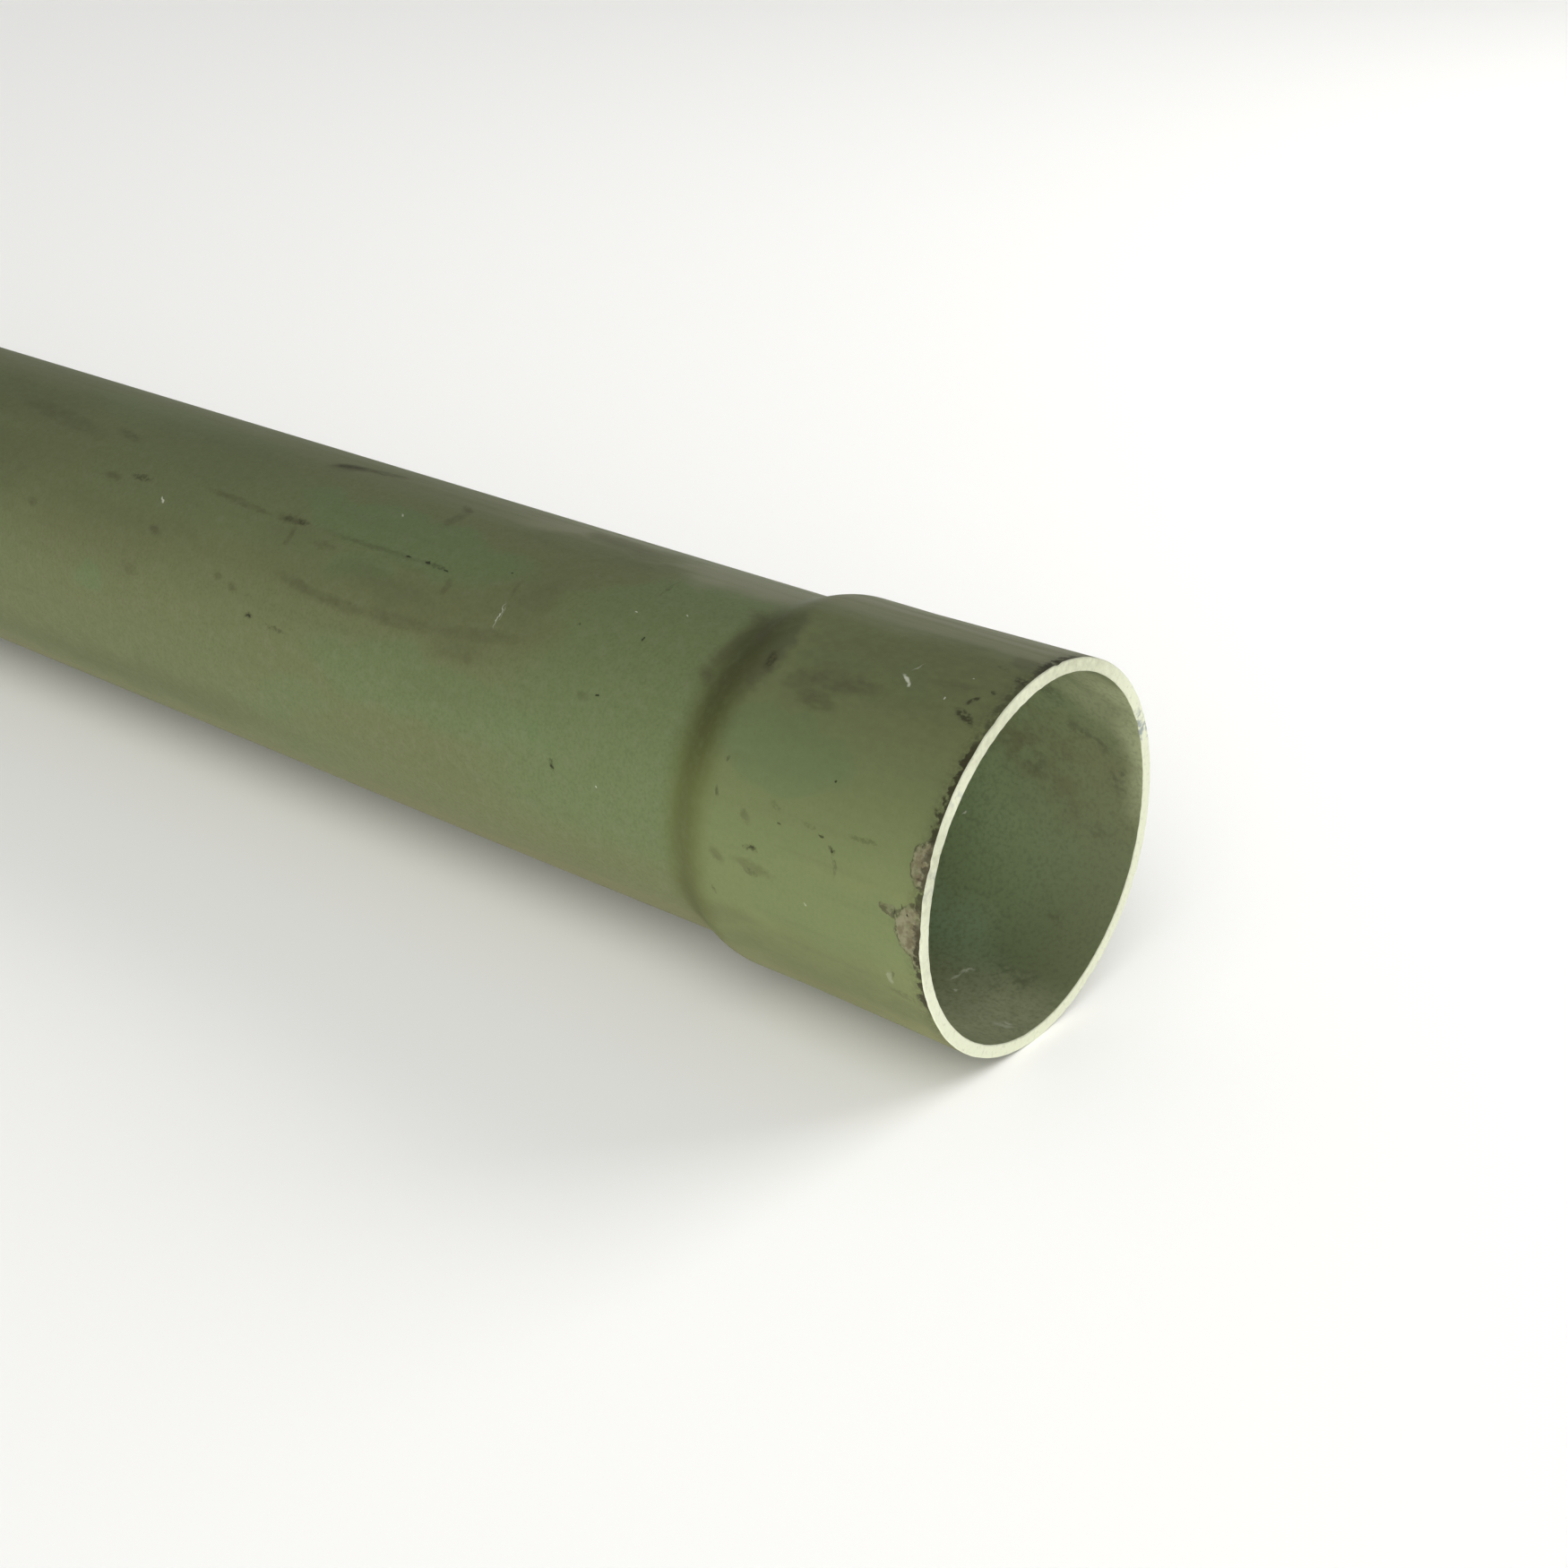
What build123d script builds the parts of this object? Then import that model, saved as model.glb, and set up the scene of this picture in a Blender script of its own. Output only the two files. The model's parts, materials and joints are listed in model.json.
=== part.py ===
from build123d import *
from math import radians, tan
import os

# A length of rigid PVC electrical duct, lying on its side, with a bell socket formed in one end.
# It lies along X with its socket mouth towards +X. The origin is on the floor under the middle of the
# overall length, and the rim of the bell, the widest point, touches the floor. Lengths are in millimetres.

# Barrel: nominal 4 inch duct, sold in 10 foot lengths
barrel_outer_diameter = 114.3
barrel_wall = 4.4
overall_length = 3048.0

# Socket in the bell: a parallel seat for the next length's spigot, then an entry taper to the mouth
socket_clearance = 0.15
socket_seat_length = 20.0
socket_entry_length = 60.0
socket_entry_opening = 1.2
bell_wall = 4.3

# Flare between barrel and bell: a short cone, blended at its heel and shoulder
flare_angle = 22.0
flare_heel_radius = 16.0
flare_shoulder_radius = 27.0

# Sawn ends: the mouth's edges are worn round, the spigot's outer edge is deburred
mouth_edge_radius = 0.5
spigot_edge_chamfer = 1.0

# Radii of the section, outwards from the pipe's axis
barrel_outer_radius = barrel_outer_diameter / 2
barrel_bore_radius = barrel_outer_radius - barrel_wall
socket_seat_radius = barrel_outer_radius + socket_clearance
socket_mouth_radius = socket_seat_radius + socket_entry_opening
bell_outer_radius = socket_seat_radius + bell_wall
rim_outer_radius = socket_mouth_radius + bell_wall

# Stations along the axis, from the mouth back to the spigot
mouth_x = overall_length / 2
spigot_x = -mouth_x
entry_x = mouth_x - socket_entry_length
seat_end_x = entry_x - socket_seat_length


def flare_corners():
    """The cone's corners, as (heel, shoulder) stations for the outside and then for the bore.

    The bore's corners lie behind the outside's by the wall, along the bisector of each bend.
    """
    half_turn = tan(radians(flare_angle / 2))
    slope = tan(radians(flare_angle))
    bore_shoulder_x = seat_end_x - (flare_shoulder_radius - bell_wall) * half_turn
    outer_shoulder_x = bore_shoulder_x - bell_wall * half_turn
    outer_heel_x = outer_shoulder_x - (bell_outer_radius - barrel_outer_radius) / slope
    bore_heel_x = bore_shoulder_x - (socket_seat_radius - barrel_bore_radius) / slope
    return (outer_heel_x, outer_shoulder_x), (bore_heel_x, bore_shoulder_x)


def wall_section():
    """The wall cut along the pipe: every corner of the outline as (station, radius, blend radius)."""
    (outer_heel_x, outer_shoulder_x), (bore_heel_x, bore_shoulder_x) = flare_corners()
    corners = [
        (spigot_x, barrel_bore_radius, 0),
        (spigot_x, barrel_outer_radius - spigot_edge_chamfer, 0),
        (spigot_x + spigot_edge_chamfer, barrel_outer_radius, 0),
        (outer_heel_x, barrel_outer_radius, flare_heel_radius),
        (outer_shoulder_x, bell_outer_radius, flare_shoulder_radius),
        (entry_x, bell_outer_radius, 0),
        (mouth_x, rim_outer_radius, mouth_edge_radius),
        (mouth_x, socket_mouth_radius, mouth_edge_radius),
        (entry_x, socket_seat_radius, 0),
        (bore_shoulder_x, socket_seat_radius, flare_shoulder_radius - bell_wall),
        (bore_heel_x, barrel_bore_radius, flare_heel_radius + barrel_wall),
    ]
    points = [(station, radius) for station, radius, blend in corners]
    blends = [blend for station, radius, blend in corners]
    section_plane = Plane(origin=(0, 0, rim_outer_radius), x_dir=(1, 0, 0), z_dir=(0, -1, 0))
    with BuildSketch(section_plane) as section:
        with BuildLine():
            FilletPolyline(*points, radius=blends, close=True)
        make_face()
    return section.sketch


def conduit_pipe():
    """One piece: the wall section turned once round the pipe's axis."""
    pipe_axis = Axis((0, 0, rim_outer_radius), (1, 0, 0))
    return revolve(wall_section(), axis=pipe_axis)


os.makedirs("parts", exist_ok=True)
export_step(conduit_pipe(), "parts/conduit_pipe.step")
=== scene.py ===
import bpy
import json
import math
import numpy as np
from mathutils import Matrix, Vector


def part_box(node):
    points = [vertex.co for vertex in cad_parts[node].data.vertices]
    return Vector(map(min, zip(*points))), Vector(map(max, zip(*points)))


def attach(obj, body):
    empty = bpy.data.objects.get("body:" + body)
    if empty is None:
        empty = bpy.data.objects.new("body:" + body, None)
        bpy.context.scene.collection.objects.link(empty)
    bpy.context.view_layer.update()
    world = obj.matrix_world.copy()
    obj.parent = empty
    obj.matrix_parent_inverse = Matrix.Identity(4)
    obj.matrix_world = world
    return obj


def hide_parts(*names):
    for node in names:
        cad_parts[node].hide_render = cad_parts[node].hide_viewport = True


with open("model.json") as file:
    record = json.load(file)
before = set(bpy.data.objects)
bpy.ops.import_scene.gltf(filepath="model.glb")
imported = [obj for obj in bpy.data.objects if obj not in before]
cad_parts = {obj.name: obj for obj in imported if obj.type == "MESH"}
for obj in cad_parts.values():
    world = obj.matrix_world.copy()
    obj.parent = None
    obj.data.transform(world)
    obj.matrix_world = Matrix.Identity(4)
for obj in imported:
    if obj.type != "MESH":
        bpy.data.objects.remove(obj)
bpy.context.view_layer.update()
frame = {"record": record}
mm = 0.001
print("frame loaded")

# The wall's section, in millimetres. Distances run back along the pipe from the mouth of the bell
lowCorner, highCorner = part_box("conduit_pipe")
mounts = {mount["name"]: mount for mount in frame["record"]["mounts"]}
socket, spigot, bore = mounts["bell_socket"], mounts["spigot_end"], mounts["cable_way"]
mouthX = highCorner.x
axisZ = socket["pos_m"][2]
seatMiddle = (mouthX - socket["pos_m"][0]) / mm
pipe = {
    "length": (highCorner.x - lowCorner.x) / mm,
    "barrelRadius": spigot["dims"]["r_mm"],
    "boreRadius": bore["dims"]["r_mm"],
    "seatRadius": socket["dims"]["r_mm"],
    "rimRadius": (highCorner.z - lowCorner.z) / 2 / mm,
    "seatStart": seatMiddle - socket["dims"]["length_mm"] / 2,
    "seatEnd": seatMiddle + socket["dims"]["length_mm"] / 2,
    "bellWall": 4.3,
    "flareAngle": 22.0,
    "heelBlend": 16.0,
    "shoulderBlend": 27.0,
    "edgeBlend": 0.5,
    "spigotChamfer": 1.0,
    "arcSteps": 5,
    "segments": 440,
    "mouthSpacing": 0.4,      # rings lie this close at the mouth
    "mouthGrowth": 0.09,      # and open out by this share of their distance from it
    "spigotGrowth": 0.5,
    "widestSpacing": 80.0,
    "ovalAmount": 1.15,       # the mouth has been pressed out of round
    "ovalClock": 24.0,
    "lobeAmount": 0.3,
    "lobeClock": -33.0,
    "ovalReach": 220.0,
    "sawWander": 0.2,         # the saw cut isn't quite flat
    "sawRoughness": 0.07,
    "edgeRoughness": 0.1,
    "edgeReach": 1.6,
    "wearBack": 0.1,          # share of a bite that also goes back along the pipe
    "mudHeight": 0.3,
}

# Clock angles are degrees from the top of the pipe, positive on the side that faces the camera
# Worn and thick places on the rim: clock, half width, bite, and 1 for its outer edge or -1 for the inner
nicks = [
    (16.0, 20.0, -0.45, -1),
    (44.0, 20.0, -0.5, -1),
    (69.0, 8.0, 1.6, 1),
    (86.0, 7.0, 1.6, 1),
    (96.0, 9.0, 0.6, 1),
    (114.0, 14.0, 0.5, 1),
    (-70.0, 28.0, 0.5, -1),
    (-92.0, 18.0, 0.3, -1),
    (-3.0, 1.6, 0.7, 1),
    (27.0, 4.0, 0.45, 1),
    (38.0, 3.0, 0.5, 1),
    (58.0, 1.6, 0.2, -1),
    (66.0, 1.3, 0.15, -1),
    (-62.0, 3.2, 0.5, -1),
    (-71.0, 1.8, 0.4, -1),
    (101.0, 2.0, 0.4, 1),
    (176.0, 2.2, 0.4, -1),
    (-118.0, 2.5, 0.45, 1),
    (-150.0, 1.8, 0.4, 1),
]
# Each mark is an oval on the unrolled wall: distance and clock of both its ends, half width and strength
mudPatches = [
    (0.6, 68.0, 0.6, 69.5, 6.8, 1.0),
    (3.0, 86.5, 2.2, 89.0, 7.2, 1.0),
    (8.0, 84.4, 14.2, 83.4, 1.8, 0.5),
    (1.8, 92.0, 2.0, 98.0, 1.8, 0.7),
]


def sectionCorners():
    # distance, radius, blend radius, finish of the blend, finish of the run after it
    halfTurn = math.tan(math.radians(pipe["flareAngle"] / 2))
    slope = math.tan(math.radians(pipe["flareAngle"]))
    bellRadius = pipe["seatRadius"] + pipe["bellWall"]
    barrelWall = pipe["barrelRadius"] - pipe["boreRadius"]
    mouthRadius = pipe["rimRadius"] - pipe["bellWall"]
    boreShoulder = pipe["seatEnd"] + (pipe["shoulderBlend"] - pipe["bellWall"]) * halfTurn
    outerShoulder = boreShoulder + pipe["bellWall"] * halfTurn
    boreHeel = boreShoulder + (pipe["seatRadius"] - pipe["boreRadius"]) / slope
    outerHeel = outerShoulder + (bellRadius - pipe["barrelRadius"]) / slope
    end, chamfer = pipe["length"], pipe["spigotChamfer"]
    return [
        (end, pipe["boreRadius"], 0, "bore", "bore"),
        (boreHeel, pipe["boreRadius"], pipe["heelBlend"] + barrelWall, "bore", "bore"),
        (boreShoulder, pipe["seatRadius"], pipe["shoulderBlend"] - pipe["bellWall"], "bore", "bore"),
        (pipe["seatStart"], pipe["seatRadius"], 0, "bore", "bore"),
        (0, mouthRadius, pipe["edgeBlend"], "sawn", "sawn"),
        (0, pipe["rimRadius"], pipe["edgeBlend"], "sawn", "outside"),
        (pipe["seatStart"], bellRadius, 0, "outside", "outside"),
        (outerShoulder, bellRadius, pipe["shoulderBlend"], "outside", "outside"),
        (outerHeel, pipe["barrelRadius"], pipe["heelBlend"], "outside", "outside"),
        (end - chamfer, pipe["barrelRadius"], 0, "sawn", "sawn"),
        (end, pipe["barrelRadius"] - chamfer, 0, "sawn", "sawn"),
    ]


def roundedOutline(corners):
    outline = []
    for index, (distance, radius, blend, blendFinish, runFinish) in enumerate(corners):
        here = Vector((distance, radius))
        back = Vector(corners[index - 1][:2]) - here
        ahead = Vector(corners[(index + 1) % len(corners)][:2]) - here
        reach = blend * math.tan((math.pi - back.angle(ahead)) / 2)
        first, last = here + back.normalized() * reach, here + ahead.normalized() * reach
        for step in range(pipe["arcSteps"] if blend else 0):
            share = step / pipe["arcSteps"]
            outline.append((first.lerp(here, share).lerp(here.lerp(last, share), share), blendFinish))
        outline.append((last, runFinish))
    return outline


def ringSpacing(distance):
    fromMouth = pipe["mouthSpacing"] + pipe["mouthGrowth"] * distance
    fromSpigot = pipe["spigotChamfer"] + pipe["spigotGrowth"] * (pipe["length"] - distance)
    return min(fromMouth, fromSpigot, pipe["widestSpacing"])


def ringsAlong(outline):
    rings = []
    for index, (start, finish) in enumerate(outline):
        run = outline[(index + 1) % len(outline)][0] - start
        stops = [0.0]
        while stops[-1] < run.length:
            stops.append(stops[-1] + ringSpacing((start + run * (stops[-1] / run.length)).x))
        for stop in stops[:-1]:
            rings.append((start + run * (stop / stops[-1]), finish))
    return rings


def wander(clock, lowest, highest, seed):
    # small ups and downs round a closed edge, the same on each run
    phases = np.random.default_rng(seed).uniform(0, 2 * math.pi, highest)
    waves = sum(np.sin(wave * clock + phases[wave]) / wave ** 0.5 for wave in range(lowest, highest))
    return waves / np.abs(waves).max()


def smoothStep(low, high, value):
    share = np.clip((value - low) / (high - low), 0, 1)
    return share * share * (3 - 2 * share)


def markOval(row):
    # centre, half length and turn of a mark on the unrolled wall, in millimetres
    start = Vector((row[0], math.radians(row[1]) * pipe["barrelRadius"]))
    end = Vector((row[2], math.radians(row[3]) * pipe["barrelRadius"]))
    along = end - start
    return (start + end) / 2, along.length / 2 + row[4], math.atan2(along.y, along.x)


def shapedRings(rings):
    distance = np.array([[point.x] for point, finish in rings])
    radius = np.array([[point.y] for point, finish in rings])
    outside = np.array([[finish == "outside"] for point, finish in rings])
    clock = np.linspace(-math.pi, math.pi, pipe["segments"], endpoint=False)[None, :]
    arc = clock * pipe["barrelRadius"]

    # out of round at the mouth, true again along the barrel
    oval = pipe["ovalAmount"] * np.cos(2 * (clock - math.radians(pipe["ovalClock"])))
    lobe = pipe["lobeAmount"] * np.cos(3 * (clock - math.radians(pipe["lobeClock"])))
    pressed = (oval + lobe) * (1 - smoothStep(0, pipe["ovalReach"], distance))

    # the saw cut wanders, and both of its edges are worn and nicked
    nearMouth = np.exp(-distance / pipe["edgeReach"])
    cut = pipe["sawWander"] * wander(clock, 2, 8, 3) + pipe["sawRoughness"] * wander(clock, 30, 110, 4)
    back = nearMouth * cut
    inward = np.zeros_like(pressed)
    for side, seed in ((1, 5), (-1, 6)):
        edge = pipe["rimRadius"] if side > 0 else pipe["rimRadius"] - pipe["bellWall"]
        atEdge = nearMouth * np.exp(-((radius - edge) / pipe["edgeReach"]) ** 2)
        bite = pipe["edgeRoughness"] * (0.5 + wander(clock, 12, 120, seed))
        for nickClock, halfWidth, depth, nickSide in nicks:
            if nickSide == side:
                along = (arc - math.radians(nickClock) * pipe["barrelRadius"]) / halfWidth
                uneven = 0.8 + 0.4 * wander(clock, 40, 120, seed + 7)
                bite = bite + depth * uneven * np.clip(1 - along ** 2, 0, 1)
        inward = inward + side * bite * atEdge
        back = back + pipe["wearBack"] * np.maximum(bite, 0) * atEdge

    # dried mud stands up from the wall
    mud = np.zeros_like(pressed)
    for row in mudPatches:
        centre, halfLength, turn = markOval(row)
        along = ((distance - centre.x) * math.cos(turn) + (arc - centre.y) * math.sin(turn)) / halfLength
        across = ((arc - centre.y) * math.cos(turn) - (distance - centre.x) * math.sin(turn)) / row[4]
        mud = np.maximum(mud, row[5] * (1 - smoothStep(0.6, 1.1, np.hypot(along, across))))

    finalRadius = radius + pressed - inward + outside * mud * pipe["mudHeight"]
    finalDistance = np.where(distance < pipe["length"] / 2, distance + back, distance)
    x = mouthX - finalDistance * mm
    y = -finalRadius * np.sin(clock) * mm
    z = axisZ + finalRadius * np.cos(clock) * mm
    return np.stack([x, y, z], axis=-1)


def buildPipe(materials):
    rings = ringsAlong(roundedOutline(sectionCorners()))
    places = shapedRings(rings)
    ringCount, segments = places.shape[:2]
    ring, segment = np.meshgrid(np.arange(ringCount), np.arange(segments), indexing="ij")
    nextRing, nextSegment = (ring + 1) % ringCount, (segment + 1) % segments
    corners = [ring * segments + segment, ring * segments + nextSegment,
               nextRing * segments + nextSegment, nextRing * segments + segment]
    faces = np.stack(corners, axis=-1).reshape(-1, 4)
    mesh = bpy.data.meshes.new("belled_pipe")
    mesh.from_pydata(places.reshape(-1, 3).tolist(), [], faces.tolist())
    for finish in materials:
        mesh.materials.append(materials[finish])
    order = list(materials)
    slots = np.repeat([order.index(finish) for point, finish in rings], segments)
    mesh.polygons.foreach_set("material_index", slots.astype(np.int32))
    mesh.polygons.foreach_set("use_smooth", np.ones(len(faces), dtype=bool))
    mesh.set_sharp_from_angle(angle=math.radians(40))
    mesh.update()
    piece = bpy.data.objects.new("belled_pipe", mesh)
    bpy.context.collection.objects.link(piece)
    print("pipe built,", ringCount, "rings,", 2 * len(faces), "triangles")
    return piece


def linear(hexColour):
    parts = [int(hexColour[start:start + 2], 16) / 255 for start in (1, 3, 5)]
    return (*[part / 12.92 if part <= 0.04045 else ((part + 0.055) / 1.055) ** 2.4 for part in parts], 1.0)


def addNode(tree, kind, inputs, output=0, **settings):
    # makes a node, sets or links its sockets and gives one of its outputs
    node = tree.nodes.new("ShaderNode" + kind)
    for name, value in settings.items():
        setattr(node, name, value)
    for key, value in inputs.items():
        if isinstance(value, bpy.types.NodeSocket):
            tree.links.new(value, node.inputs[key])
        else:
            node.inputs[key].default_value = value
    return node.outputs[output]


def newMaterial(name, **plain):
    material = bpy.data.materials.new(name)
    material.use_nodes = True
    tree = material.node_tree
    shader = tree.nodes["Principled BSDF"]
    for socketName, value in plain.items():
        shader.inputs[socketName].default_value = value
    return material, tree, shader


def pipeCoordinates(tree):
    # millimetres from the mouth, towards the camera's side and up from the axis, and the wall unrolled flat
    place = addNode(tree, "TexCoord", {}, "Object")
    solid = addNode(tree, "Mapping", {"Vector": place, "Scale": (-1 / mm, -1 / mm, 1 / mm),
                                      "Location": (mouthX / mm, 0, -axisZ / mm)})
    distance, side, rise = addNode(tree, "SeparateXYZ", {0: solid}).node.outputs
    clock = addNode(tree, "Math", {0: side, 1: rise}, operation="ARCTAN2")
    arc = addNode(tree, "Math", {0: clock, 1: pipe["barrelRadius"]}, operation="MULTIPLY")
    flat = addNode(tree, "CombineXYZ", {0: distance, 1: arc})
    height = addNode(tree, "Math", {0: clock}, operation="COSINE")
    return {"solid": solid, "flat": flat, "distance": distance, "clock": clock, "height": height}


def patchy(tree, place, size, start, end, low=0.0, high=1.0, stretch=(1, 1, 1), detail=3.0):
    # cloudy patches of this size in millimetres, from low where the cloud is thin to high where it is thick
    scaled = addNode(tree, "Mapping", {"Vector": place, "Scale": tuple(part / size for part in stretch)})
    cloud = addNode(tree, "TexNoise", {"Vector": scaled, "Scale": 1.0, "Detail": detail})
    return addNode(tree, "MapRange", {0: cloud, 1: start, 2: end, 3: low, 4: high},
                   interpolation_type="SMOOTHSTEP")


def coat(tree, under, over, *amounts):
    # one colour over another, as thick as all the amounts multiplied
    thickness = amounts[0]
    for amount in amounts[1:]:
        thickness = addNode(tree, "Math", {0: thickness, 1: amount}, operation="MULTIPLY")
    return addNode(tree, "Mix", {0: thickness, 6: under, 7: over}, 2, data_type="RGBA"), thickness


def marks(tree, flat, rows, softness):
    # how much of any of these ovals lies here, fading in from their outlines
    fill = None
    for row in rows:
        centre, halfLength, turn = markOval(row)
        size = (halfLength, row[4], 1)
        local = addNode(tree, "Mapping", {"Vector": flat, "Location": (*centre, 0), "Rotation": (0, 0, turn),
                                          "Scale": size}, vector_type="TEXTURE")
        within = addNode(tree, "TexGradient", {0: local}, 1, gradient_type="SPHERICAL")
        here = addNode(tree, "MapRange", {0: within, 2: softness, 4: row[5]},
                       interpolation_type="SMOOTHSTEP")
        fill = here if fill is None else addNode(tree, "Math", {0: fill, 1: here}, operation="MAXIMUM")
    return fill


def ragged(tree, at, size, amount):
    # the unrolled wall pushed about, so that the outline of a mark wanders
    scaled = addNode(tree, "Mapping", {"Vector": at["solid"], "Scale": (1 / size, 1 / size, 1 / size)})
    push = addNode(tree, "TexNoise", {"Vector": scaled, "Scale": 1.0, "Detail": 3.0}, "Color",
                   normalize=False)
    return addNode(tree, "VectorMath", {0: push, 1: (amount, amount, 0), 2: at["flat"]},
                   operation="MULTIPLY_ADD")


def facing(tree, at, clock):
    # how nearly the wall faces this clock angle: 1 on it, -1 opposite
    turned = addNode(tree, "Math", {0: at["clock"], 1: math.radians(clock)}, operation="SUBTRACT")
    return addNode(tree, "Math", {0: turned}, operation="COSINE")


# Marks on the outside, as the photograph shows them
greenPatches = [
    (186, 24, 302, 22, 14, 0.9), (150, 72, 266, 74, 16, 0.6), (246, 88, 304, 105, 8, 0.4),
    (36, 52, 82, 52, 15, 0.8), (242, 40, 262, 42, 9, 0.8), (4, 92, 60, 94, 16, 0.3),
    (28, 24, 36, 20, 7, 0.4), (50, 24, 72, 24, 5, 0.4), (326, 1, 452, 2, 11, 0.5),
    (290, 17, 404, 19, 16, 0.35), (392, 77, 378, 78, 5, 0.6),
]
stainPatches = [
    (-6, 18, 64, 20, 20, 1.0), (146, 4, 184, 24, 13, 1.0), (178, 28, 190, 50, 13, 1.0),
    (170, 44, 240, 48, 14, 1.0), (226, 49, 302, 48, 10, 0.9), (160, 5, 204, 3, 9, 0.8),
    (148, -9, 186, -8, 9, 1.0), (330, 46, 500, 44, 20, 0.8),
]
filmPatches = [
    (46, 33, 74, 34, 8, 0.25), (84, 14, 84, 40, 9, 0.7), (0, 120, 80, 122, 24, 0.4),
    (282, 34, 306, 42, 9, 0.15), (376, 20, 466, 20, 11, 0.1), (300, 52, 450, 54, 9, 0.15),
    (240, 112, 520, 117, 14, 0.3), (430, 44, 540, 58, 26, 0.35), (0, 119, 20, 124, 12, 0.45),
    (150, -10, 190, -9, 8, 0.5), (99, 10, 101, 36, 7, 0.8), (64, 108, 90, 112, 10, 0.35),
    (92, 104, 93, 126, 7, 0.6), (320, 60, 440, 68, 12, 0.15), (14, -1, 3, 3, 5, 0.6),
    (420, 14, 540, 20, 18, 0.3), (310, 0, 290, -6, 5, 0.5), (56, 119, 88, 123, 9, 0.4),
    (140, -2, 176, 4, 10, 0.25), (290, 8, 420, 18, 24, 0.15), (270, 44, 205, 46, 9, 0.2),
    (206, 53, 184, 54, 6, 0.22), (182, 36, 172, 26, 9, 0.2),
]
# pale patches along the top edge: dust with a painted sheen
dustAndSheenPatches = [(98, -9, 138, -6, 13, 0.9), (30, -4, 80, -3, 10, 0.2), (190, -6, 214, -4, 8, 0.3)]
smears = [
    (28, 20.5, 12, 18, 2.6, 0.4), (92, 18, 88, 24, 4.0, 0.7), (64, 36, 50, 38, 3.6, 0.6),
    (57, 31, 40, 28, 3.4, 0.45), (104, 9, 96, 14, 3.8, 0.5), (102.5, 37, 98, 40, 3.0, 0.6),
    (60, 29, 70, 33, 4.4, 0.4), (80.5, 26, 79, 33, 3.4, 0.7), (70, 86.6, 54, 88, 2.4, 0.5),
    (77.5, 86.5, 74, 88.5, 2.3, 0.5), (67.5, 72.6, 65.5, 74.2, 2.2, 0.5),
    (308, -1.5, 294, -6, 4.2, 1.0), (298, -5.5, 276, -8.5, 3.2, 0.8), (240, -0.5, 233.5, 4.6, 2.2, 0.7),
    (234.5, 5, 236, 14, 3.6, 0.5), (333, 32, 300, 33, 1.5, 0.5), (304, 32.3, 287, 32.2, 2.4, 0.7),
    (288, 32.6, 216, 32, 1.5, 0.5), (291.5, 34, 291, 42, 1.8, 0.5), (280, 37.8, 268, 37.8, 2.2, 0.4),
    (214.3, 35, 213.6, 41, 2.0, 0.55), (188, 26, 187, 34, 1.2, 0.4), (290, 52, 262, 55.4, 3.0, 0.5),
    (272, 55.4, 238, 55.6, 3.2, 0.5), (248, 55.4, 206, 53, 3.6, 0.42), (218, 54, 168, 46, 3.6, 0.38),
    (192.5, 58, 191, 58.6, 2.2, 0.3), (317, 60.4, 314, 60.8, 2.2, 0.5),
    (308, 62.2, 305, 62.4, 2.0, 0.5), (394, 38, 386, 38, 2.2, 0.6), (357, 52, 353, 52.6, 2.4, 0.6),
    (408, 17.5, 392, 20, 3.0, 0.5), (470, 17, 404, 24, 6, 0.4), (344, 31, 314, 31.6, 1.9, 0.5),
    (428, 57, 422, 58, 2.0, 0.5), (366, 68, 358, 69.5, 2.6, 0.4), (143, 57, 139, 57.4, 1.9, 0.4),
]
smudges = [
    (2.0, -5, 1.2, 2, 2.4, 1.0), (14, 7.6, 10, 8, 0.9, 0.5), (5, 10, 1, 12, 1.8, 0.8),
    (8, 17.6, 6.6, 18.2, 1.0, 0.9), (12.2, 23.8, 10, 21.6, 1.3, 1.0), (13.6, 26.8, 6, 29.6, 1.9, 1.0),
    (80.5, 27.5, 79.4, 31, 2.0, 0.7), (77.8, 59.4, 77.4, 60.2, 0.9, 0.6), (78.6, 68, 78, 71, 1.1, 0.6),
    (65.5, 81.8, 61.5, 81.4, 1.4, 0.8), (66, 88.5, 60, 89.5, 1.2, 0.4),
    (78.5, 99, 77.6, 100.6, 1.0, 0.5), (58.5, 67.4, 54.5, 68.2, 1.3, 0.3),
    (34.6, 73.4, 33, 74.2, 1.0, 0.9), (33.4, 75, 31.4, 80.4, 0.9, 0.4),
    (29.5, 68.4, 18, 67.8, 1.0, 0.4), (46, 69.2, 40, 69.8, 0.9, 0.3), (11, 103, 11.4, 106, 0.9, 0.5),
    (14, 111, 4, 112, 2.0, 0.3), (306, -2, 297, -5, 2.0, 0.7), (299, 32.4, 295, 32.4, 1.5, 0.5),
    (293, 32.2, 288, 32.2, 1.8, 0.7), (230, 31.6, 216, 32.2, 1.1, 0.5), (137.4, 4, 137.6, 18, 0.7, 0.4),
    (297, 70, 294.4, 69.8, 1.6, 0.8), (287, 70.5, 276, 71.4, 1.2, 0.5), (381, 35.4, 370, 35, 1.8, 0.7),
    (148.6, 80, 147.6, 83, 1.3, 0.7), (2.8, 89.6, 1.4, 93, 1.1, 0.9), (1.0, 95.4, 0.6, 98, 0.9, 0.9),
    (0.6, 100.6, 0.4, 104.4, 1.1, 1.0), (0.5, 109.6, 0.4, 111.4, 1.2, 1.0),
]
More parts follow.
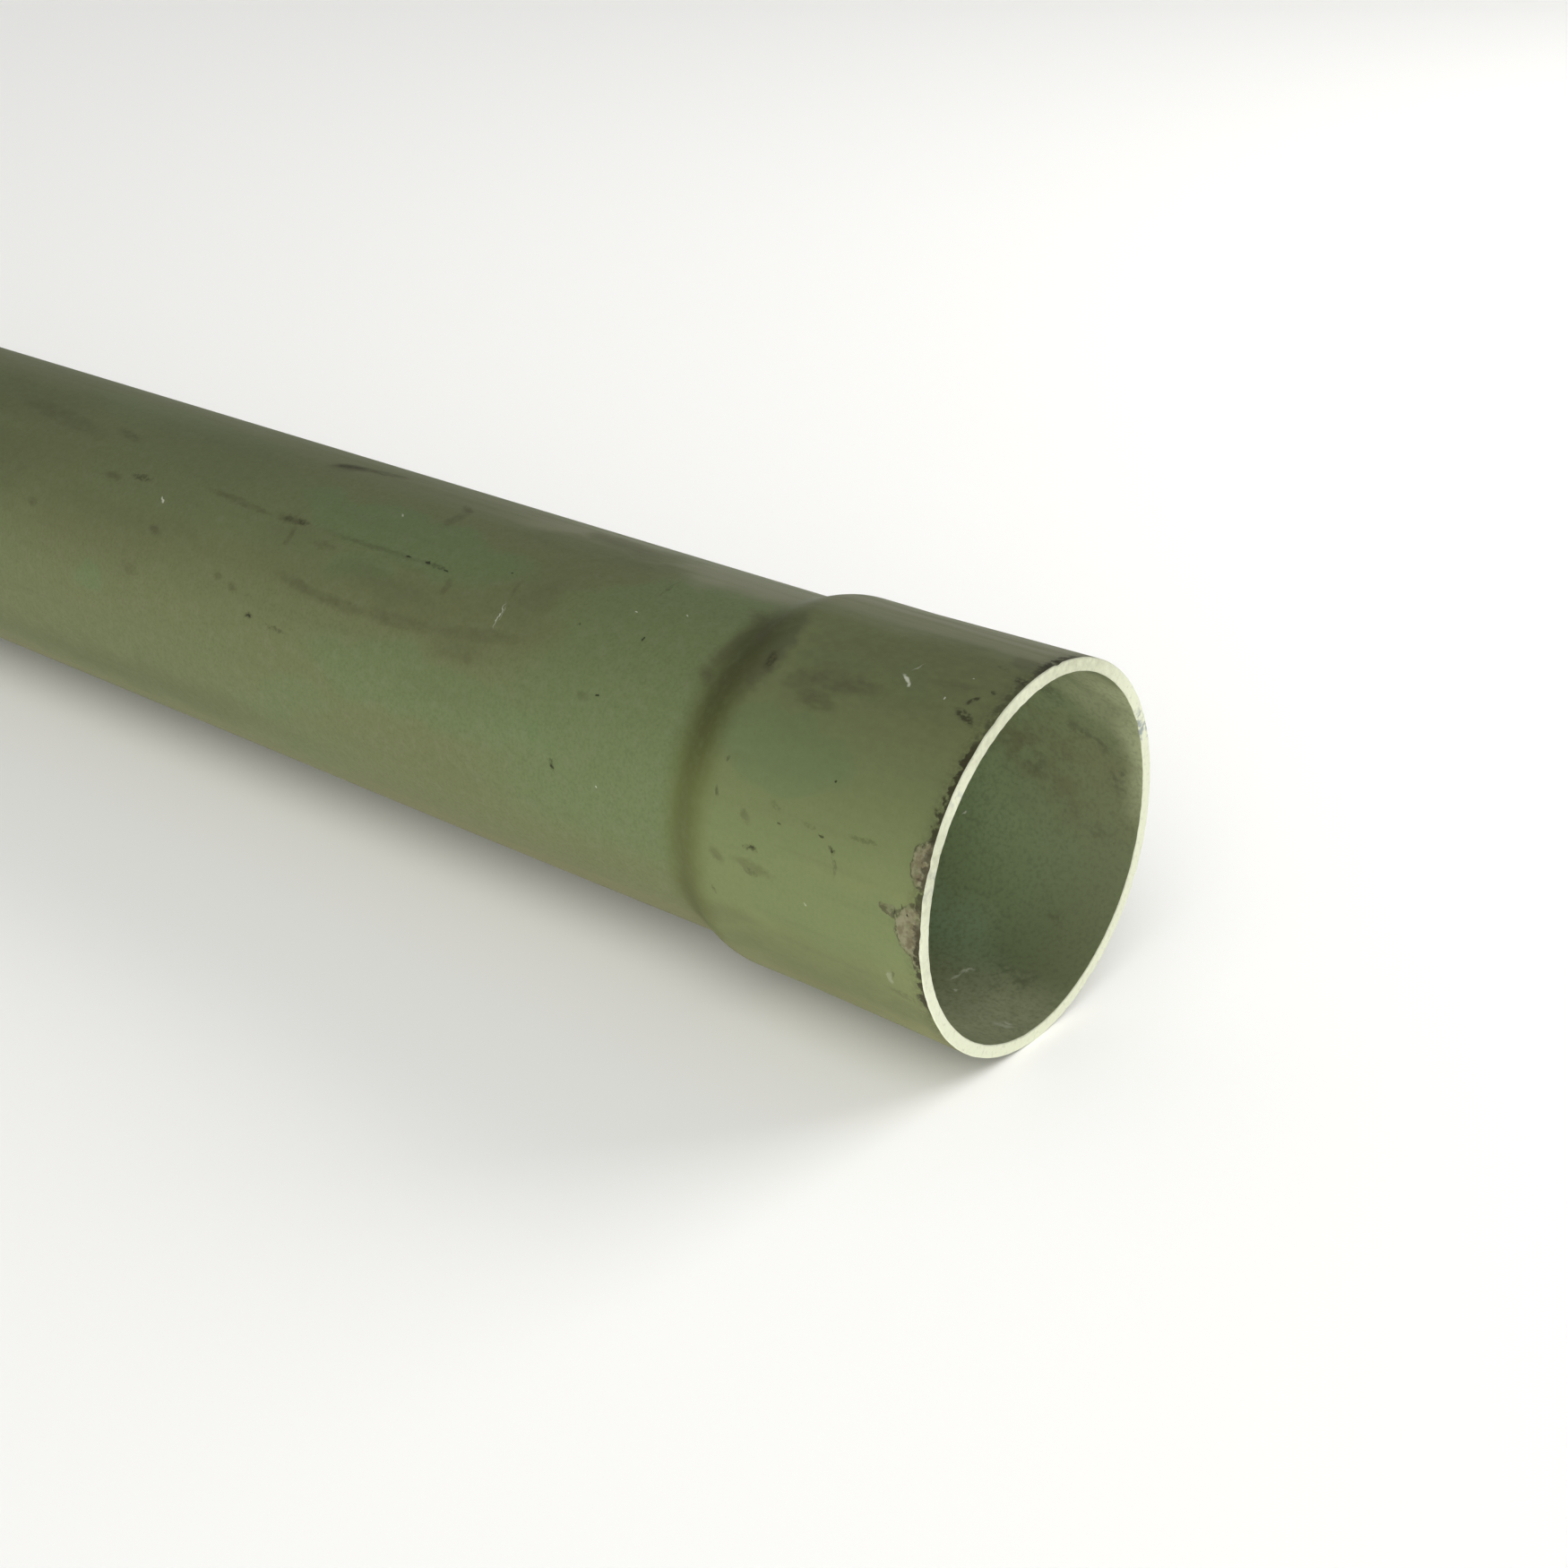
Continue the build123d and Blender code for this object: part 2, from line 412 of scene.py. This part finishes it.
specks = [
    (136.3, 55.6, 135.3, 55.6, 0.5, 1.0), (130.0, 32.4, 129.8, 34, 0.45, 0.9),
    (38.8, 56, 38.4, 56, 0.5, 1.0), (193.8, 25.2, 193.3, 25.2, 0.5, 1.0),
    (229, 31.4, 226.5, 31.6, 0.6, 0.9), (238.5, 31.8, 236, 31.8, 0.6, 0.9),
    (219.2, 32, 217.8, 32.2, 0.6, 0.8), (296.4, 70, 294.8, 69.8, 0.8, 0.8),
    (148.2, 82.3, 147.7, 82.6, 0.6, 0.8), (39, 70.6, 37.6, 70.8, 0.5, 0.8),
    (54.2, 71.6, 53.6, 71.8, 0.5, 0.7), (34.2, 73.6, 33.4, 73.9, 0.5, 0.8),
    (156, 35.4, 155.6, 35.6, 0.5, 0.6), (63.8, 81.6, 62.4, 81.4, 0.6, 0.7),
    (5.0, 83.3, 4.8, 83.5, 0.5, 1.0), (7.6, 81, 7.2, 82, 0.4, 0.7), (9.5, 83, 9.2, 85, 0.4, 0.6),
]
scuffs = [
    (36.6, 20.8, 32.8, 23.2, 0.9, 0.9), (32.8, 23.2, 32.4, 24.4, 0.7, 0.8),
    (35.4, 19, 34.2, 14.6, 0.3, 0.4), (19.8, 24.2, 19.2, 25, 0.3, 0.8),
    (16.2, 14.7, 15.9, 14.7, 0.4, 0.9), (42, 92, 41.6, 92.4, 0.35, 0.4),
    (187.7, 35.8, 186.6, 47.2, 0.24, 0.7), (186.8, 36.4, 186, 44, 0.2, 0.4),
    (140.1, 24.8, 139.3, 24.9, 0.45, 0.9), (122.3, 20.1, 121.6, 20.3, 0.4, 0.8),
    (128.9, 83.2, 128.6, 83.6, 0.4, 0.8), (255.6, 15.2, 254.2, 16.2, 0.5, 0.6),
    (360, 40.4, 357.8, 41.8, 0.8, 0.8), (12.5, 104.4, 12.7, 108.2, 1.2, 0.2),
]
rimGrime = [
    (0, -13, 0, 6, 5, 0.9), (0, 4, 0, 36, 4, 0.45), (0, 34, 0, 64, 6, 1.0), (0, 62, 0, 92, 5, 0.8),
    (0, 90, 0, 113, 6, 1.0),
]

outsideFinish = {
    "barrelColour": "#737950",
    "bellColour": "#7c8455",
    "greenColour": "#6d8053",
    # brown film, also the painted shade on the upper half
    "filmColour": "#5d6142",
    # chalk and dust, also the painted sheen along the top edge and the painted fill light in the bore
    "dustColour": "#8c8d72",
    # soil underneath, also the painted sheen along the lower edge
    "soilColour": "#8b835c",
    # dirt in the flare, also its painted shade
    "coveColour": "#4b4e26",
    "lowCoveColour": "#5e632d",
    "smearColour": "#4c4a30",
    "grimeColour": "#302c1a",
    "speckColour": "#1d1a10",
    "scuffColour": "#d6d9c4",
    "mudColour": "#8e8a6e",
    "wetMudColour": "#766e55",
}

# Where the weather and the painted shade, sheen and fill light lie, in degrees of clock
weather = {
    "dustClock": -28.0,
    "dirtClock": 28.0,
    "soilClock": 150.0,
    "unseenClock": -122.0,    # the middle of the side that the photograph leaves out
    "boreDustClock": 173.0,
}


def weatheredWall(tree, at, colours):
    # the plastic: greenest near the flare and in cloudy patches, lighter on the bell, with a chalky grain
    near = addNode(tree, "MapRange", {0: at["distance"], 1: 192, 2: 148}, interpolation_type="SMOOTHSTEP")
    clouds = patchy(tree, at["solid"], 60, 0.42, 0.66, 0, 0.3, (0.4, 1, 1), 2)
    greens = marks(tree, at["loose"], greenPatches, 0.4)
    greens = addNode(tree, "Math", {0: greens, 1: clouds}, operation="MAXIMUM")
    bare = addNode(tree, "Math", {0: 1.0, 1: at["stains"]}, operation="SUBTRACT")
    onBell = addNode(tree, "MapRange", {0: at["distance"], 1: 98, 2: 84}, interpolation_type="SMOOTHSTEP")
    side = addNode(tree, "MapRange", {0: at["height"], 1: -0.38, 2: -0.1}, interpolation_type="SMOOTHSTEP")
    colour = coat(tree, colours["barrelColour"], colours["greenColour"], near, bare, side, 0.55)[0]
    colour = coat(tree, colour, colours["bellColour"], onBell)[0]
    colour = coat(tree, colour, colours["greenColour"], greens)[0]
    # real chalking is finer, and is drawn this coarse to show
    grain = addNode(tree, "MapRange", {0: onBell, 3: 0.2, 4: 0.085})
    pits = patchy(tree, at["solid"], 1.1, 0.34, 0.8, detail=4)
    colour = coat(tree, colour, colours["grimeColour"], pits, grain)[0]
    chalk = patchy(tree, at["solid"], 3.6, 0.4, 0.8, detail=6)
    return coat(tree, colour, colours["dustColour"], chalk, grain)[0]


def brownFilmAndShade(tree, at, colours, colour):
    # a thin brown film on the upper half, partly real film and partly painted shade that darkens towards the
    # top, thinnest behind the flare, thicker in stains and soft patches
    # painted shade in part: the film grows towards the top of the pipe
    upper = addNode(tree, "MapRange", {0: at["height"], 1: 0.1, 2: 0.85}, interpolation_type="SMOOTHSTEP")
    onBell = addNode(tree, "MapRange", {0: at["distance"], 1: 104, 2: 84, 3: 0.06, 4: 0.5})
    onBarrel = addNode(tree, "MapRange", {0: at["distance"], 1: 120, 2: 200, 3: 0.0, 4: 0.24})
    usual = addNode(tree, "Math", {0: onBell, 1: onBarrel}, operation="ADD")
    usual = addNode(tree, "Math", {0: upper, 1: usual}, operation="MULTIPLY")
    usual = addNode(tree, "Math", {0: at["stains"], 1: 0.12, 2: usual}, operation="MULTIPLY_ADD")
    filmAndShade = addNode(tree, "Math", {0: usual, 1: marks(tree, at["loose"], filmPatches, 0.8)}, operation="ADD")
    # like stains on the side and along the length that the photograph leaves out
    away = facing(tree, at, weather["unseenClock"])
    away = addNode(tree, "MapRange", {0: away, 1: 0.1, 2: 0.5}, interpolation_type="SMOOTHSTEP")
    far = addNode(tree, "MapRange", {0: at["distance"], 1: 540, 2: 680}, interpolation_type="SMOOTHSTEP")
    unseen = addNode(tree, "Math", {0: away, 1: far}, operation="MAXIMUM")
    blots = patchy(tree, at["solid"], 36, 0.5, 0.64, 0, 0.4, (0.35, 1, 1), 6)
    filmAndShade = addNode(tree, "Math", {0: unseen, 1: blots, 2: filmAndShade}, operation="MULTIPLY_ADD")
    mottle = patchy(tree, at["solid"], 2.4, 0.3, 0.7, 0.85, 1.15, (0.7, 1, 1), 5)
    colour, filmAndShade = coat(tree, colour, colours["filmColour"], filmAndShade, mottle)
    streaks = patchy(tree, at["flat"], 5, 0.5, 0.8, 0, 0.2, (0.06, 1, 1), 4)
    return coat(tree, colour, colours["filmColour"], streaks)[0], filmAndShade


def packedDirtAndShade(tree, at, colours, colour, top):
    # dirt packed into the flare with painted shade in its hollow, darkest high on the side and gone from the
    # top edge of dust and painted sheen
    heel = addNode(tree, "MapRange", {0: at["distance"], 1: 105, 2: 92.5}, interpolation_type="SMOOTHSTEP")
    shoulder = addNode(tree, "MapRange", {0: at["distance"], 1: 77, 2: 89}, interpolation_type="SMOOTHSTEP")
    high = facing(tree, at, weather["dirtClock"])
    high = addNode(tree, "MapRange", {0: high, 1: 0.7, 2: 1.0}, interpolation_type="SMOOTHSTEP")
    # painted shade in part: the flare's hollow is darkened, most on its upper side
    dirtAndShade = coat(tree, colours["lowCoveColour"], colours["coveColour"], high)[0]
    thick = addNode(tree, "MapRange", {0: high, 3: 0.75, 4: 0.88})
    clear = addNode(tree, "MapRange", {0: top, 1: 0.73, 2: 0.88, 3: 1, 4: 0},
                    interpolation_type="SMOOTHSTEP")
    mottle = patchy(tree, at["solid"], 2.5, 0.25, 0.6, 0.8, 1.05, detail=5)
    return coat(tree, colour, dirtAndShade, heel, shoulder, thick, clear, mottle)[0]


def settledDustAndSheen(tree, at, colours, colour, top):
    # pale dust along the top with a painted sheen on that edge, thinner away from the bell, and a paler
    # brown band underneath, partly soil thrown up from the ground and partly painted sheen
    near = addNode(tree, "MapRange", {0: at["distance"], 1: 290, 2: 140, 3: 0.22},
                   interpolation_type="SMOOTHSTEP")
    bare = addNode(tree, "Math", {0: at["stains"], 1: -0.6, 2: 1.0}, operation="MULTIPLY_ADD")
    streaked = patchy(tree, at["flat"], 4.5, 0.3, 0.65, 0.5, 1.2, (0.06, 1, 1), 4)
    # painted sheen in part: a pale band along the upper edge of the pipe
    high = addNode(tree, "MapRange", {0: top, 1: 0.8, 2: 0.985}, interpolation_type="SMOOTHSTEP")
    colour = coat(tree, colour, colours["dustColour"], high, near, bare, streaked)[0]
    # pale patches near the top edge, dust with a painted sheen
    dustAndSheenDrifts = marks(tree, at["loose"], dustAndSheenPatches, 0.8)
    colour = coat(tree, colour, colours["dustColour"], dustAndSheenDrifts, streaked)[0]
    # painted sheen in part: a paler brown band along the underside
    low = facing(tree, at, weather["soilClock"])
    low = addNode(tree, "MapRange", {0: low, 1: 0.85, 2: 1.0, 4: 0.45}, interpolation_type="SMOOTHSTEP")
    return coat(tree, colour, colours["soilColour"], low, streaked)[0]


def handledMarks(tree, at, colours, colour):
    # soft smears, smudges in broken grains, mud dried on by the rim, grime along its edge, specks, scuffs
    grains = patchy(tree, at["solid"], 1.2, 0.38, 0.58, 0.2, 0.95, detail=4)
    rubbed = patchy(tree, at["solid"], 2.0, 0.3, 0.65, 0.45, 1.0, (0.5, 1, 1), 5)
    smeared = marks(tree, at["tight"], smears, 0.7)
    colour = coat(tree, colour, colours["smearColour"], smeared, rubbed, 0.85)[0]
    smudged = marks(tree, at["tight"], smudges, 0.6)
    colour = coat(tree, colour, colours["grimeColour"], smudged, grains, 0.85)[0]
    mud = marks(tree, at["tight"], mudPatches, 0.3)
    damp = patchy(tree, at["solid"], 2.2, 0.42, 0.62, detail=4)
    mudColour = coat(tree, colours["mudColour"], colours["wetMudColour"], damp)[0]
    flaked = patchy(tree, at["solid"], 2.6, 0.3, 0.5, 0.6, 0.95, detail=4)
    colour, mud = coat(tree, colour, mudColour, mud, flaked)
    rising = addNode(tree, "MapRange", {0: mud, 1: 0.02, 2: 0.3}, interpolation_type="SMOOTHSTEP")
    falling = addNode(tree, "MapRange", {0: mud, 1: 0.75, 2: 0.4}, interpolation_type="SMOOTHSTEP")
    colour = coat(tree, colour, colours["grimeColour"], rising, falling, grains, 0.65)[0]
    soiled = addNode(tree, "MapRange", {0: at["distance"], 1: 8, 2: 0, 4: 0.4},
                     interpolation_type="SMOOTHSTEP")
    colour = coat(tree, colour, colours["grimeColour"], soiled, grains)[0]
    edge = addNode(tree, "MapRange", {0: at["distance"], 1: 5.5, 2: 0.8})
    clumps = patchy(tree, at["solid"], 2.6, 0.25, 0.75, detail=4)
    clumps = addNode(tree, "Math", {0: clumps, 1: 0.9, 2: edge}, operation="MULTIPLY_ADD")
    grime = addNode(tree, "MapRange", {0: clumps, 1: 1.0, 2: 1.3}, interpolation_type="SMOOTHSTEP")
    gathered = marks(tree, at["flat"], rimGrime, 0.4)
    colour = coat(tree, colour, colours["grimeColour"], grime, gathered, 0.85)[0]
    colour = coat(tree, colour, colours["speckColour"], marks(tree, at["tight"], specks, 0.5), 0.9)[0]
    colour = coat(tree, colour, colours["scuffColour"], marks(tree, at["tight"], scuffs, 0.6), 0.85)[0]
    return colour, mud


def weatheredPvc():
    # weathered extruded PVC: matt grey-green, browner on top with painted shade in that brown, dust with a
    # painted sheen along the top edge, a dark ring of dirt and painted shade in the flare
    plain = {"IOR": 1.53, "Specular IOR Level": 0.2}
    material, tree, shader = newMaterial("weathered_extruded_pvc", **plain)
    colours = {name: linear(value) for name, value in outsideFinish.items()}
    at = pipeCoordinates(tree)
    at["loose"] = ragged(tree, at, 24, 6)
    at["tight"] = ragged(tree, at, 2.4, 0.8)
    # the top edge, where pale dust and a painted sheen lie
    top = facing(tree, at, weather["dustClock"])
    at["stains"] = marks(tree, at["loose"], stainPatches, 0.35)
    colour = weatheredWall(tree, at, colours)
    colour, filmAndShade = brownFilmAndShade(tree, at, colours, colour)
    colour = packedDirtAndShade(tree, at, colours, colour, top)
    colour = settledDustAndSheen(tree, at, colours, colour, top)
    colour, mud = handledMarks(tree, at, colours, colour)
    tree.links.new(colour, shader.inputs["Base Color"])

    rough = addNode(tree, "Math", {0: filmAndShade, 1: 0.15, 2: 0.54}, operation="MULTIPLY_ADD")
    rough = addNode(tree, "Math", {0: mud, 1: 0.3, 2: rough}, operation="MULTIPLY_ADD")
    tree.links.new(rough, shader.inputs["Roughness"])
    grain = patchy(tree, at["solid"], 1.1, 0, 1, 0, 0.03, detail=2)
    # lines left by the extruder's die
    drawn = patchy(tree, at["flat"], 1.6, 0, 1, 0, 0.02, (0.02, 1, 1), 2)
    height = addNode(tree, "Math", {0: grain, 1: drawn}, operation="ADD")
    bump = addNode(tree, "Bump", {"Height": height, "Distance": mm})
    tree.links.new(bump, shader.inputs["Normal"])
    return material


rimFinish = {
    "cleanColour": "#dde0c5",
    "dirtyColour": "#a5a68a",
    "scrapeColour": "#74808a",
}
rimDirt = [
    (0, -44, 0, 20, 9, 0.65), (0, 10, 0, 48, 8, 0.5), (0, 50, 0, 90, 7, 0.6), (0, 92, 0, 106, 3, 0.3),
]
rimScrapes = [(0, -72, 0, -57, 2.6, 0.75), (0, 48, 0, 52, 1.4, 0.35), (0, 70, 0, 78, 1.6, 0.3)]


def sawnPvc():
    # sawn PVC: pale cream where the cut is fresh, greyed by handling along the top
    plain = {"IOR": 1.53, "Roughness": 0.65, "Specular IOR Level": 0.3}
    material, tree, shader = newMaterial("sawn_pvc", **plain)
    colours = {name: linear(value) for name, value in rimFinish.items()}
    at = pipeCoordinates(tree)
    stains = patchy(tree, at["solid"], 2.6, 0.25, 0.75, 0.35, 1.0, detail=5)
    handled = marks(tree, at["flat"], rimDirt, 0.9)
    colour = coat(tree, colours["cleanColour"], colours["dirtyColour"], handled, stains)[0]
    spots = patchy(tree, at["solid"], 1.6, 0.5, 0.8, 0, 0.4, detail=5)
    colour = coat(tree, colour, colours["dirtyColour"], spots)[0]
    scraped = patchy(tree, at["solid"], 3.2, 0.42, 0.6, detail=4)
    scrapes = marks(tree, at["flat"], rimScrapes, 0.7)
    colour = coat(tree, colour, colours["scrapeColour"], scrapes, scraped)[0]
    tree.links.new(colour, shader.inputs["Base Color"])
    sawMarks = patchy(tree, at["solid"], 0.9, 0, 1, 0, 0.1, (1, 0.15, 1), 2)
    bump = addNode(tree, "Bump", {"Height": sawMarks, "Distance": mm})
    tree.links.new(bump, shader.inputs["Normal"])
    return material


boreFinish = {
    # painted fill light: paler than the plastic, for the shade deep in the bore
    "plasticColour": "#8a9a70",
    "dullColour": "#727a58",
    "oliveColour": "#757755",
    # dust, also the painted fill light along the bottom of the bore
    "dustColour": "#aaad8b",
    # painted light in strips by the mouth
    "rubbedColour": "#9ea37e",
    "fleckColour": "#575a41",
    "greenColour": "#9db08c",
    "scuffColour": "#d0d3bd",
}
boreOlives = [(0, -98, 62, -78, 28, 1.0)]
boreGreens = [(30, -164, 80, -146, 20, 0.7)]
# painted light: strips by the mouth where light falls into the bore
boreLitStrips = [(-6, -62, 13, -38, 17, 1.0), (-4, -92, 10, -56, 14, 0.9), (6, -58, 34, -48, 13, 0.55)]
boreBlots = [
    (24, -73, 18, -80, 4.5, 0.7), (12, -85, 7, -91, 3.5, 0.7), (16, -105, 11, -111, 4, 0.45),
    (43, -89, 36, -96, 5, 0.5), (21, -136, 16, -142, 3.5, 0.5), (36, -55, 26, -64, 6, 0.6),
    (27, -158, 14, -164, 4, 0.6), (30, -98, 22, -106, 6, 0.2),
]
boreScuffs = [
    (36.8, -174, 35.4, -168, 0.9, 0.9), (36.2, -168.6, 33.2, -164.4, 0.9, 1.0),
    (32.3, -176.7, 31.9, -177.1, 0.9, 1.0), (11, 174.5, 6, 176.5, 1.8, 0.4),
    (9.5, 177.6, 7, 178, 0.9, 0.5), (63.8, -116, 63.4, -115.6, 0.6, 1.0),
]


def dustyPvc():
    # the bore: the same plastic out of the weather, painted paler deep inside as fill light for the shade
    # there, darker by the mouth, with painted light in strips by the mouth, brown at one side, dusty
    # underneath with painted fill light
    plain = {"IOR": 1.53, "Roughness": 0.6, "Specular IOR Level": 0.3}
    material, tree, shader = newMaterial("dusty_pvc_bore", **plain)
    colours = {name: linear(value) for name, value in boreFinish.items()}
    at = pipeCoordinates(tree)
    at["loose"] = ragged(tree, at, 20, 7)
    at["tight"] = ragged(tree, at, 2.4, 0.9)
    # painted fill light: the bore is paler deeper in and darker by the mouth
    towardsMouth = addNode(tree, "MapRange", {0: at["distance"], 1: 58, 2: 4}, interpolation_type="SMOOTHSTEP")
    colour = coat(tree, colours["plasticColour"], colours["dullColour"], towardsMouth)[0]
    clouds = patchy(tree, at["solid"], 6, 0.32, 0.68, 0.4, 1.1, detail=5)
    olives = marks(tree, at["loose"], boreOlives, 0.9)
    colour = coat(tree, colour, colours["oliveColour"], olives, clouds)[0]
    # dust along the bottom of the bore, partly painted fill light
    under = facing(tree, at, weather["boreDustClock"])
    under = addNode(tree, "MapRange", {0: under, 1: 0.85, 2: 1.0}, interpolation_type="SMOOTHSTEP")
    colour = coat(tree, colour, colours["greenColour"], marks(tree, at["loose"], boreGreens, 0.9))[0]
    deeper = addNode(tree, "MapRange", {0: at["distance"], 1: 2, 2: 16, 3: 0.5})
    thick = patchy(tree, at["solid"], 4, 0.3, 0.7, 0.7, 1.0, detail=5)
    colour = coat(tree, colour, colours["dustColour"], under, deeper, thick)[0]
    # painted light: paler strips by the mouth where light falls into the bore
    colour = coat(tree, colour, colours["rubbedColour"], marks(tree, at["loose"], boreLitStrips, 0.9))[0]
    speckled = patchy(tree, at["solid"], 2.4, 0.35, 0.62, detail=5)
    blots = marks(tree, at["loose"], boreBlots, 0.9)
    colour = coat(tree, colour, colours["fleckColour"], blots, speckled)[0]
    flecks = patchy(tree, at["solid"], 1.4, 0.4, 0.75, 0, 0.35, detail=5)
    colour = coat(tree, colour, colours["fleckColour"], flecks)[0]
    colour = coat(tree, colour, colours["scuffColour"], marks(tree, at["tight"], boreScuffs, 0.8))[0]
    tree.links.new(colour, shader.inputs["Base Color"])
    return material


pipePiece = buildPipe({"outside": weatheredPvc(), "sawn": sawnPvc(), "bore": dustyPvc()})
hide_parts("conduit_pipe")
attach(pipePiece, "root")

# Studio: a pale floor under the lowest point of the rim, a low wide softbox beside the camera, a high one
# behind the bell and a dim soft sky
studio = {
    "floorSize": 60.0,
    "floorColour": "#f0efec",
    "skyColour": "#f4f5f6",
    "skyStrength": 0.46,
    "keyPlace": (2.8, -1.7, 0.32),
    "keyAim": (1.4, 0, 0.06),
    "keySize": (2.4, 0.6),
    "keyPower": 28.0,
    "backPlace": (2.3, 1.6, 1.2),
    "backAim": (1.45, 0, 0.1),
    "backSize": (1.4, 1.0),
    "backPower": 14.0,
    "floorLight": 1.6,        # lights the floor alone, as a background lamp does
    "floorLightFrom": (0.4, -0.9, 1.0),
    "floorLightSpread": 60.0,
}


def addFloor():
    half = studio["floorSize"] / 2
    level = min(vertex.co.z for vertex in pipePiece.data.vertices)
    mesh = bpy.data.meshes.new("floor")
    corners = [(-half, -half, level), (half, -half, level), (half, half, level), (-half, half, level)]
    mesh.from_pydata(corners, [], [(0, 1, 2, 3)])
    # matt board: pale, and too rough to mirror the pipe
    material, tree, shader = newMaterial("matt_floor", Roughness=0.8)
    shader.inputs["Base Color"].default_value = linear(studio["floorColour"])
    mesh.materials.append(material)
    floor = bpy.data.objects.new("floor", mesh)
    bpy.context.collection.objects.link(floor)
    return floor


def addSoftbox(name, place, aim, size, power):
    light = bpy.data.lights.new(name, "AREA")
    light.shape = "RECTANGLE"
    light.size, light.size_y = size
    light.energy = power
    lamp = bpy.data.objects.new(name, light)
    lamp.location = place
    lamp.rotation_euler = (Vector(aim) - Vector(place)).to_track_quat("-Z", "Y").to_euler()
    lamp.visible_camera = False
    bpy.context.collection.objects.link(lamp)


def addSky():
    world = bpy.data.worlds.new("soft_sky")
    world.use_nodes = True
    background = world.node_tree.nodes["Background"]
    background.inputs["Color"].default_value = linear(studio["skyColour"])
    background.inputs["Strength"].default_value = studio["skyStrength"]
    bpy.context.scene.world = world


def addFloorLight(floor):
    light = bpy.data.lights.new("floor_light", "SUN")
    light.energy = studio["floorLight"]
    light.angle = math.radians(studio["floorLightSpread"])
    lamp = bpy.data.objects.new("floor_light", light)
    lamp.rotation_euler = Vector(studio["floorLightFrom"]).to_track_quat("Z", "Y").to_euler()
    bpy.context.collection.objects.link(lamp)
    floorOnly = bpy.data.collections.new("floor_only")
    floorOnly.objects.link(floor)
    lamp.light_linking.receiver_collection = floorOnly


addFloorLight(addFloor())
addSoftbox("key_softbox", studio["keyPlace"], studio["keyAim"], studio["keySize"], studio["keyPower"])
addSoftbox("back_softbox", studio["backPlace"], studio["backAim"], studio["backSize"], studio["backPower"])
addSky()
bpy.context.scene.view_settings.view_transform = "Standard"
print("studio lit")

# Camera: the photograph's frame is 1750 pixels square
view = {
    "framePixels": 1750,
    "focalPixels": 2700,
    "sensor": 36.0,
    "azimuth": 38.78,
    "elevation": 26.7,
    "mouthRight": 0.0774,     # the mouth's centre from the camera, in metres
    "mouthDown": 0.0232,
    "mouthAhead": 0.7233,
}


def addCamera():
    azimuth, elevation = math.radians(view["azimuth"]), math.radians(view["elevation"])
    right = Vector((math.cos(azimuth), math.sin(azimuth), 0))
    ahead = Vector((-math.sin(azimuth) * math.cos(elevation), math.cos(azimuth) * math.cos(elevation),
                    -math.sin(elevation)))
    up = right.cross(ahead)
    mouth = Vector((mouthX, 0, axisZ))
    place = mouth - right * view["mouthRight"] + up * view["mouthDown"] - ahead * view["mouthAhead"]
    data = bpy.data.cameras.new("photo_camera")
    data.sensor_width = view["sensor"]
    data.lens = view["sensor"] * view["focalPixels"] / view["framePixels"]
    camera = bpy.data.objects.new("photo_camera", data)
    turn = Matrix((right, up, -ahead)).transposed().to_4x4()
    camera.matrix_world = Matrix.Translation(place) @ turn
    bpy.context.collection.objects.link(camera)
    bpy.context.scene.camera = camera


addCamera()
print("camera placed")
